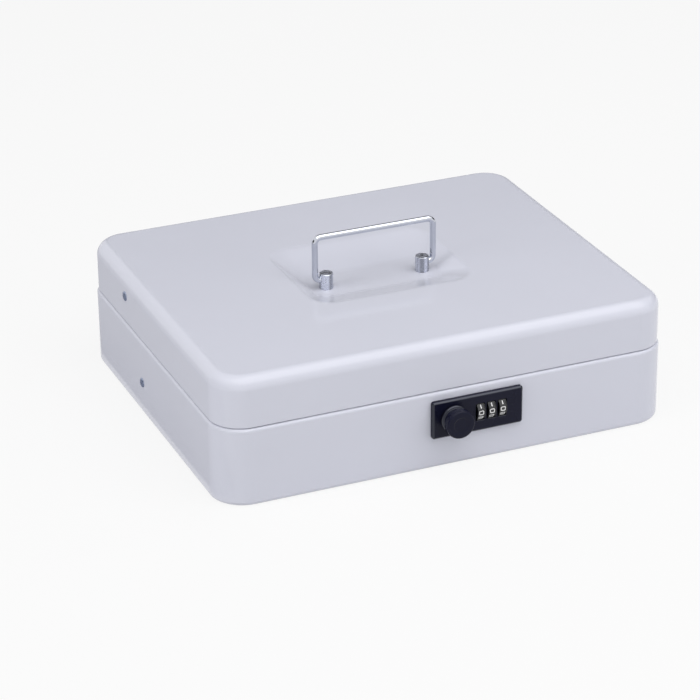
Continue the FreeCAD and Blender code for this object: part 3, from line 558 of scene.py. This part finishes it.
flat_corner = 6.8
flats = [(-2.05, 1.65), (-2.05, flat_corner), (2.05, flat_corner), (2.05, 1.65), (-2.05, 1.65)]
rim = [(2, 6.2), (2, 6.7), (2.1, 6.9), (2.25, 6.97), (2.42, 6.9), (2.5, 6.75), (2.5, 1.55)]
profile = [(-along, radius) for along, radius in reversed(rim)] + rim + [(-2.5, 1.55)]
for number, x in enumerate(dial_xs, 1):
    wheel = lathed("dial_%d_wheel" % number, profile, axis=(1, 0, 0), segments=60)
    tread = lathed("tread", flats, axis=(1, 0, 0), segments=digits_round)
    merge(wheel, tread.data)
    bpy.data.objects.remove(tread)
    wheel = grown(wheel, finger_ribs, rim_radius=6.76 * mm, ribs=digits_round, look=wheel_black,
                  rib_size=(0.36 * mm, 0.5 * mm, 3.95 * mm))
    first_digit_face = len(wheel.data.polygons)
    digits = printed_digits(flat_corner * math.cos(math.pi / digits_round), 1.42, 1.2, 0.62)
    merge(wheel, digits)
    bpy.data.meshes.remove(digits)
    wheel.data.transform(Matrix.Translation(Vector((x, dial_y, lock_z)) * mm))
    settle(wheel, 25)
    fit(wheel, wheel_black, "dial_%d" % number, "black_plastic", "dial_wheel_%d" % number)
    recoat(wheel, digit_white, lambda face: face.index >= first_digit_face)
    dress("dial_sleeve_%d" % number, 0.12, zinc, "dial_%d" % number, "zinc_steel")

# Knob: black moulded mushroom on the steel lock spindle, with a collar against the cover, a waist for the
# fingertips and a soft-edged cap with a shallow round dimple. The cam is screwed to the inner end.
profile = [(11.2, 0), (11.2, 3), (-3, 3), (-3, 4.4), (0.4, 4.4), (0.4, 8.6), (0.6, 8.85)]
profile += bead(1.9, 7.6, 1.5, 75, 10, 8) + bead(5, 7.9, 1.3, 190, 290, 8)
profile += bead(7.6, 8.3, 1, 210, 110, 7) + bead(11, 8.1, 1.2, 88, 8, 10)
profile += [(12.28, 7.4), (12.3, 5.5), (12.25, 5.2), (12.05, 4.9), (12, 4.6), (12, 0)]
knob = lathed("knob_cap", profile, (knob_x, cover_y, lock_z), (0, -1, 0), 72)
settle(knob, 60)
fit(knob, black_plastic, "knob_group", "black_plastic", "knob")
collar_front, collar_back = -131.8, -128.5
recoat(knob, black_gloss, lambda face: collar_front * mm < face.center.y < collar_back * mm)
dress("spindle", 0.3, zinc, "knob_group", "zinc_steel")
dress("locking_cam", 0.25, zinc, "knob_group", "zinc_steel")
profile = [(0, 0), (0, 3.8), (0.2, 4)] + bead(1.3, 3.1, 0.9, 90, 0) + [(2.2, 0)]
screw = slotted(lathed("screw", profile, segments=40), height=2.2, width=0.9, depth=1.0, reach=6)
cam_screw = fastened("cam_screw_slotted", screw, zinc, [((knob_x, -108.4, lock_z), (0, 1, 0))])
fit(cam_screw, zinc, "knob_group", "zinc_steel", "cam_screw")

# Lid: drawn from the same sheet, with a large soft edge all round and a shallow dish pressed into its top
# so that the handle folds away. A folded catch for the cam is welded inside its front wall.
lid_outside, lid_inside = 85, 84
lid_pivot = (50, 70.75)
post_x, post_y = 33.7, -4.6


def dish_ring(share, height):
    """Ring of the dish wall: share 0 is the rim, 1 is the edge of its floor, which lies further forward."""
    ring = soft_ring(56 - 12 * share, 45.7 - 28.2 * share, 16 - 8 * share, height)
    shift = Vector((0, 2.3 - 3.8 * share, 0)) * mm
    return [point + shift for point in ring]


def dish_depth(share):
    """Depth of the dish wall below the lid top, eased at the rim and at the floor."""
    soft, slope = 0.1, 7.5
    if share < soft:
        return slope * (share + soft) ** 2 / (4 * soft)
    if share > 1 - soft:
        return slope * (1 - (1 + soft - share) ** 2 / (4 * soft))
    return slope * share


shares = [-0.1 + 0.2 * k / 8 for k in range(9)] + [0.3, 0.5, 0.7] + [0.9 + 0.2 * k / 8 for k in range(9)]
lid_profile = list(arc(9.5, 76.5, 7.5, 90, 0, 12))  # inside of the soft edge
lid_profile += arc(1.5, 52.9, 0.5, 180, 360, 8)  # lower rim
lid_profile += arc(9.5, 76.5, 8.5, 0, 90, 14)  # outside of the soft edge
lid_rings = [dish_ring(share, lid_inside - dish_depth(share)) for share in reversed(shares)]
lid_rings += [wall_ring(inset, z) for inset, z in lid_profile]
lid_rings += [dish_ring(share, lid_outside - dish_depth(share)) for share in shares]
lid_cover = pressed_shell("lid_cover", lid_rings)
punches = bmesh.new()
punch_rod(punches, (0, *lid_pivot), (1, 0, 0), pivot_bore, through_both)
for side in (-1, 1):
    punch_rod(punches, (post_x * side, post_y, 78), (0, 0, 1), 2.5, 10)  # post hole
    punch_hinge_window(punches, side, 50, 55.2)
punched(lid_cover, punches)
fit(lid_cover, white_paint, "lid", "white_paint", "lid_shell")
dress("lid_catch", 0.25, zinc, "lid", "zinc_steel")

# Handle posts: two short pegs turned from steel bar and nickelled, cross-drilled for the wire and riveted
# through the floor of the dish over a washer.
wire_z = 83.7
nickel = finish("turned_nickel", (0.49, 0.51, 0.57), (0.61, 0.63, 0.70), (0.22, 0.32), 1, 2600, 0.004, 420)
tree = nickel.node_tree
# Vertical light and dark streaks scale the nickel's base colour. They are a painted reflection of the lamp
# and the dark room in the turned posts, not marks on the metal.
place, squeeze, lines = (tree.nodes.new("ShaderNode" + kind) for kind in ("TexCoord", "Mapping", "TexNoise"))
squeeze.inputs["Scale"].default_value = (1, 1, 0.004)
lines.inputs["Scale"].default_value = 330
lines.inputs["Detail"].default_value = 2
tree.links.new(place.outputs["Object"], squeeze.inputs["Vector"])
tree.links.new(squeeze.outputs["Vector"], lines.inputs["Vector"])
painted_reflection_streak = ramp(tree, 0.38, 0.62, 0.62, 1.3)
tree.links.new(lines.outputs["Fac"], painted_reflection_streak.inputs["Value"])
shade = tree.nodes.new("ShaderNodeVectorMath")
shade.operation = "SCALE"
base_colour = tree.nodes["Principled BSDF"].inputs["Base Color"]
tree.links.new(base_colour.links[0].from_socket, shade.inputs[0])
tree.links.new(painted_reflection_streak.outputs["Result"], shade.inputs["Scale"])
tree.links.new(shade.outputs[0], base_colour)
profile = [(74.6, 0), (74.6, 2.6)] + bead(75.1, 2.6, 0.5, 180, 90) + [(75.5, 3.1), (75.5, 2.5), (77.5, 2.5)]
profile += [(77.5, 4.3), (77.7, 4.5), (87.2, 4.5)] + bead(87.5, 4.0, 0.5, 90, 0)
profile += [(88, 1.0), (87.9, 0.8), (87.9, 0)]
for hand, side in (("left", -1), ("right", 1)):
    post = lathed("handle_post_%s_turned" % hand, profile, (post_x * side, post_y, 0))
    punches = bmesh.new()
    punch_rod(punches, (37.4 * side, post_y, wire_z), (1, 0, 0), 2.08, 12.2)  # hole for the wire
    punched(post, punches)
    fit(post, nickel, "lid", "zinc_steel", "handle_post_" + hand)
ring = [(75.5, 2.5), (75.5, 4.8), (75.7, 5), (76.3, 5), (76.5, 4.8), (76.5, 2.5), (75.5, 2.5)]
washers = fastened("post_washers", lathed("washer", ring, segments=40), zinc,
                   [((post_x * side, post_y, 0), (0, 0, 1)) for side in (-1, 1)])
fit(washers, zinc, "lid", "zinc_steel", "post_washer_left", "post_washer_right")

# Handle: one length of 4 mm wire bent to a staple and chromed. Its turned-in ends swing in the posts,
# so that it folds down to either side.
chrome = finish("chrome_plate", (0.55, 0.57, 0.63), (0.61, 0.63, 0.69), (0.03, 0.06), 1, 500, 0.004, 120)


def bent_wire_tree(look):
    """Round wire along a path; each corner of the path is bent to the radius stored on its point."""
    inputs = {"Path": "Geometry", "Wire radius": "Float", "Bend steps": "Int"}
    tree = node_tree("bent_wire", "Geometry", inputs, {"Wire": "Geometry"})
    add, link = tree.nodes.new, tree.links.new
    enter, leave = add("NodeGroupInput"), add("NodeGroupOutput")
    bend, radius = add("GeometryNodeFilletCurve"), add("GeometryNodeInputRadius")
    plain = add("GeometryNodeSetCurveRadius")
    bend.mode = "POLY"
    plain.inputs["Radius"].default_value = 1
    section, sweep = add("GeometryNodeCurvePrimitiveCircle"), add("GeometryNodeCurveToMesh")
    section.inputs["Resolution"].default_value = 32
    sweep.inputs["Fill Caps"].default_value = True
    real, coat = add("GeometryNodeRealizeInstances"), add("GeometryNodeSetMaterial")
    coat.inputs["Material"].default_value = look
    link(enter.outputs["Path"], bend.inputs["Curve"])
    link(enter.outputs["Bend steps"], bend.inputs["Count"])
    link(radius.outputs[0], bend.inputs["Radius"])
    link(bend.outputs[0], plain.inputs["Curve"])
    link(plain.outputs[0], sweep.inputs["Curve"])
    link(enter.outputs["Wire radius"], section.inputs["Radius"])
    link(section.outputs[0], sweep.inputs["Profile Curve"])
    link(sweep.outputs[0], real.inputs[0])
    link(real.outputs[0], coat.inputs["Geometry"])
    link(coat.outputs[0], leave.inputs["Wire"])
    return tree


corners = [(-31.45, wire_z, 0), (-41.3, wire_z, 3.6), (-41.3, 113.2, 4)]
corners += [(-x, z, bend_radius) for x, z, bend_radius in reversed(corners)]
path = bpy.data.curves.new("handle_wire", "CURVE")
path.dimensions = "3D"
line = path.splines.new("POLY")
line.points.add(len(corners) - 1)
for point, (x, z, bend_radius) in zip(line.points, corners):
    point.co = (x * mm, post_y * mm, z * mm, 1)
    point.radius = bend_radius * mm
wire = placed("handle_wire", path)
handle_wire = grown(wire, bent_wire_tree(chrome), wire_radius=2 * mm, bend_steps=14)
settle(handle_wire, 50)
fit(handle_wire, chrome, "handle", "bright_steel", "handle_bail")

# Side rivets: shouldered steel rivets with low domed heads, two through the base and two through the lid.
# Inside they carry the linkage straps and end in a flat formed head.
bracket_x = 145.8
rivet_steel = finish("rivet_steel", (0.24, 0.28, 0.40), (0.40, 0.46, 0.60), (0.22, 0.34), 1, 1800, 0.05, 300)
dome = [(1.3 * math.cos(math.radians(10 * k)), 3.25 * math.sin(math.radians(10 * k))) for k in range(9)]
rivet_rows = (("base", half_width, 147.4, base_pivot), ("lid", half_width - 1, bracket_x, lid_pivot))
for owner, wall, strap, pivot in rivet_rows:
    inner = strap - wall
    profile = dome + [(0.12, 3.25), (0, 3.2), (0, 2), (-1, 2), (-1, 3.2)]
    profile += [(inner + 0.1, 3.2), (inner + 0.1, 2), (inner - 1.3, 2), (inner - 1.3, 3.0)]
    profile += [(inner - 1.5, 3.25), (inner - 1.9, 3.25), (inner - 2.1, 3), (inner - 2.1, 0)]
    rivet = lathed("rivet", profile, segments=40)
    holes = [((side * wall, *pivot), (side, 0, 0)) for side in (-1, 1)]
    rivets = fastened(owner + "_rivets", rivet, rivet_steel, holes)
    fit(rivets, rivet_steel, owner, "zinc_steel", owner + "_rivet_left", owner + "_rivet_right")

# Coin tray: one black moulding with five scooped coin cups and two note bays. A zinc-plated bracket is
# riveted to each end; it hangs on the lid rivet and on the stud that the linkage arm lifts.
tray_stud = (-56, 41.6)
tray_black = finish("tray_moulding", (0.010, 0.0105, 0.012), (0.016, 0.0165, 0.018), (0.38, 0.50),
                    0, 1800, 0.10, 30, specular=0.35)
dress("coin_tray", 0.6, tray_black, "tray", "black_plastic")
profile = [(0.3, 0), (0.3, 1.1), (0.2, 1.4), (0, 1.6), (-3.2, 1.6), (-3.2, 2.6)]
profile += [(-3.35, 2.8), (-3.7, 2.5), (-3.9, 1.9), (-3.95, 0)]
holes = []
for side in (-1, 1):
    for share in (0.38, 0.72):
        y, z = (start + share * (end - start) for start, end in zip(lid_pivot, tray_stud))
        holes.append(((side * bracket_x, y, z), (side, 0, 0)))
rivets = fastened("bracket_rivets", lathed("rivet", profile, segments=32), zinc, holes)
fit(rivets, zinc, "tray", "zinc_steel", "bracket_rivet_left_front", "bracket_rivet_left_rear",
    "bracket_rivet_right_front", "bracket_rivet_right_rear")
profile = [(2.5, 0), (2.5, 2.5)] + bead(2.1, 2.85, 0.4, 0, 90)
profile += [(1.7, 3.25), (1.7, 2), (-1.2, 2), (-1.2, 0)]
studs = fastened("tray_studs", lathed("stud", profile, segments=40), zinc,
                 [((side * bracket_x, *tray_stud), (side, 0, 0)) for side in (-1, 1)])
fit(studs, zinc, "tray", "zinc_steel", "tray_stud_left", "tray_stud_right")
for hand in ("left", "right"):
    dress("tray_bracket_" + hand, 0.25, zinc, "tray", "zinc_steel")
    dress("tray_arm_" + hand, 0.25, zinc, "arm_" + hand, "zinc_steel")

# Studio: a pale floor that melts into a white surround, one broad soft light above and in front, and
# weaker ones low on the left and low at the front right.
floor_reach, floor_tone, floor_glow = 4.0, 0.68, 0.86
surround_light, surround_white = 0.34, 1.0
aim = Vector((0, 0, 0.05))


def matt_paper(name, colour):
    """Plain matt material for the floor and the cards."""
    material = bpy.data.materials.new(name)
    material.use_nodes = True
    shader = material.node_tree.nodes["Principled BSDF"]
    shader.inputs["Base Color"].default_value = (*colour, 1)
    shader.inputs["Roughness"].default_value = 0.9
    return material


def stage_panel(name, corners, look):
    """Flat panel of the studio through four corners, in metres."""
    mesh = bpy.data.meshes.new(name)
    mesh.from_pydata(corners, [], [(0, 1, 2, 3)])
    mesh.materials.append(look)
    panel = placed(name, mesh)
    return panel


def seen_directly(tree, share):
    """Where the eye, a reflection or a clear surface looks straight at the studio, scaled by a share."""
    ray, scale = tree.nodes.new("ShaderNodeLightPath"), tree.nodes.new("ShaderNodeMath")
    scale.operation = "MULTIPLY"
    scale.inputs[1].default_value = share
    last = ray.outputs["Is Camera Ray"]
    for name in ("Is Glossy Ray", "Is Transmission Ray"):
        most = tree.nodes.new("ShaderNodeMath")
        most.operation = "MAXIMUM"
        tree.links.new(last, most.inputs[0])
        tree.links.new(ray.outputs[name], most.inputs[1])
        last = most.outputs[0]
    tree.links.new(last, scale.inputs[0])
    return scale.outputs[0]


paper = matt_paper("studio_paper", (floor_tone, floor_tone, floor_tone))
tree = paper.node_tree
glow = tree.nodes.new("ShaderNodeEmission")
blend = tree.nodes.new("ShaderNodeMixShader")
tree.links.new(seen_directly(tree, floor_glow), blend.inputs[0])
tree.links.new(tree.nodes["Principled BSDF"].outputs[0], blend.inputs[1])
tree.links.new(glow.outputs[0], blend.inputs[2])
tree.links.new(blend.outputs[0], tree.nodes["Material Output"].inputs["Surface"])
floor_corners = [(x * floor_reach, y * floor_reach, 0) for x, y in ((-1, -1), (1, -1), (1, 1), (-1, 1))]
stage_panel("floor", floor_corners, paper)

world = bpy.data.worlds.new("studio")
bpy.context.scene.world = world
world.use_nodes = True
tree = world.node_tree
backdrop = tree.nodes["Background"]
backdrop.inputs["Color"].default_value = (1, 1, 1, 1)
level = ramp(tree, 0, 1, surround_light, surround_white)
tree.links.new(seen_directly(tree, 1), level.inputs["Value"])
tree.links.new(level.outputs["Result"], backdrop.inputs["Strength"])


def soft_light(name, place, size, power, mirrored=True):
    """Broad lamp aimed at the box; an unmirrored one leaves no image of itself in glossy surfaces."""
    lamp = bpy.data.lights.new(name, "AREA")
    lamp.shape = "RECTANGLE"
    lamp.size, lamp.size_y = size
    lamp.energy = power
    rig = placed(name, lamp)
    rig.location = place
    rig.visible_glossy = mirrored
    rig.rotation_euler = (aim - Vector(place)).to_track_quat("-Z", "Y").to_euler()


soft_light("key", (0.15, -0.55, 1.4), (2.1, 1.5), 18.9)
soft_light("fill_left", (-2.1, -0.26, 0.7), (1.4, 1.0), 17.6, mirrored=False)
soft_light("fill_front", (1.45, -1.53, 0.66), (1.3, 0.9), 9.0, mirrored=False)

# Grey and dark cards behind, beside and left of the box, which only its reflections see, draw the edges of
# the metal and keep the glare of the floor off the left wall.
cards = (("card_low", (-0.1, 0.7, 0.01), (1.3, 0.7, 0.55), 0.32),
         ("card_high", (-0.1, 0.7, 0.55), (1.3, 0.7, 1.1), 0.03),
         ("card_left", (-1.5, -0.7, 0.1), (-1.5, 1.2, 0.8), 0.05),
         ("card_right", (1.5, -0.5, 0.1), (1.5, 1.2, 0.8), 0.05),
         ("card_floor", (-1.2, -0.14, 0.001), (-0.156, 0.9, 0.001), 0.46))
for name, low, high, tone in cards:
    (x0, y0, z0), (x1, y1, z1) = low, high
    upright = z1 > z0
    corners = [low, (x1, y1, z0), high, (x0, y0, z1)] if upright else [low, (x1, y0, z0), high, (x0, y1, z0)]
    card = stage_panel(name, corners, matt_paper(name, (tone, tone, tone * 1.06)))
    card.visible_camera = False
    card.visible_diffuse = False
    card.visible_shadow = False
    card.visible_transmission = False

# Camera: fitted to the outline of the box in the photograph and turned to the middle of the box. The lens
# shift sets the box off the middle of the picture, as the photograph has it.
azimuth, elevation, roll = (math.radians(a) for a in (-23.2526, 24.9295, -0.378))
distance, middle_height = 1.81087, 0.0425
level_back = Vector((math.sin(azimuth), -math.cos(azimuth), 0)) * math.cos(elevation)
back = level_back + Vector((0, 0, math.sin(elevation)))
right = Vector((math.cos(azimuth), math.sin(azimuth), 0))
up = back.cross(right)
across = right * math.cos(roll) + up * math.sin(roll)
upward = up * math.cos(roll) - right * math.sin(roll)
lens = bpy.data.cameras.new("camera")
lens.sensor_width = 36
lens.lens = 142.64
lens.shift_x = -0.03134
lens.shift_y = -0.03544
lens.clip_end = 20
camera = placed("camera", lens)
camera.matrix_world = Matrix((across, upward, back)).transposed().to_4x4()
camera.location = Vector((0, 0, middle_height)) + back * distance
bpy.context.scene.camera = camera
bpy.context.scene.view_settings.view_transform = "Standard"
